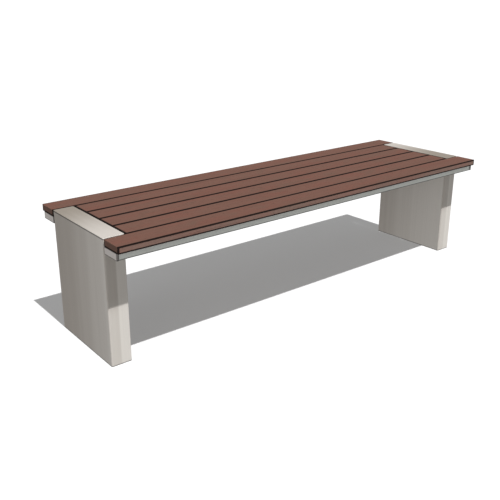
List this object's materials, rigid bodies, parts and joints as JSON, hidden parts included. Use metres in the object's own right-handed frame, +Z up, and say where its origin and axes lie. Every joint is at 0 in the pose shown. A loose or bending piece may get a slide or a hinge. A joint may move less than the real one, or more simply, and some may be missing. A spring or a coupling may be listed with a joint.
{
  "type": "backless bench",
  "caption": "Backless street bench: long timber slats on a folded metal seat frame, bolted between two slab legs of bent sheet metal with lift-off top plates.",
  "frame": {"origin": "on the ground at the middle of the footprint", "axes": "+X along the bench, +Y to its rear, +Z up; front and rear are alike"},
  "size_m": [1.8, 0.56, 0.45],
  "materials": {
    "timber": "oiled red-brown hardwood, planed",
    "leg_sheet": "fine satin, upright grain",
    "top_plate": "fine satin",
    "seat_frame": "light grey powder coat, satin",
    "inner_steel": "mill finish",
    "bolts": "plain stainless",
    "screws": "plain stainless",
    "spacers": "black nylon"
  },
  "bodies": {
    "root": {"bearer_1": "seat_frame", "bearer_2": "seat_frame", "bearer_3": "seat_frame", "bearer_4": "seat_frame", "bearer_5": "seat_frame", "bearer_bolts": "bolts", "bearer_nuts": "bolts", "front_left_end_plate": "seat_frame", "front_outer_slat": "timber", "front_rail": "seat_frame", "front_right_end_plate": "seat_frame", "front_slat_screws": "screws", "inner_slat_1": "timber", "inner_slat_2": "timber", "inner_slat_3": "timber", "inner_slat_4": "timber", "inner_slat_screws": "screws", "left_front_fixing_block": "inner_steel", "left_leg_base_plate": "inner_steel", "left_leg_shell": "leg_sheet", "left_leg_stiffener": "inner_steel", "left_leg_top_plate": "top_plate", "left_rear_fixing_block": "inner_steel", "rail_bolts": "bolts", "rail_spacers": "spacers", "rail_washers": "bolts", "rear_left_end_plate": "seat_frame", "rear_outer_slat": "timber", "rear_rail": "seat_frame", "rear_right_end_plate": "seat_frame", "rear_slat_screws": "screws", "right_front_fixing_block": "inner_steel", "right_leg_base_plate": "inner_steel", "right_leg_shell": "leg_sheet", "right_leg_stiffener": "inner_steel", "right_leg_top_plate": "top_plate", "right_rear_fixing_block": "inner_steel", "top_plate_screws": "screws"}
  },
  "joints": []
}
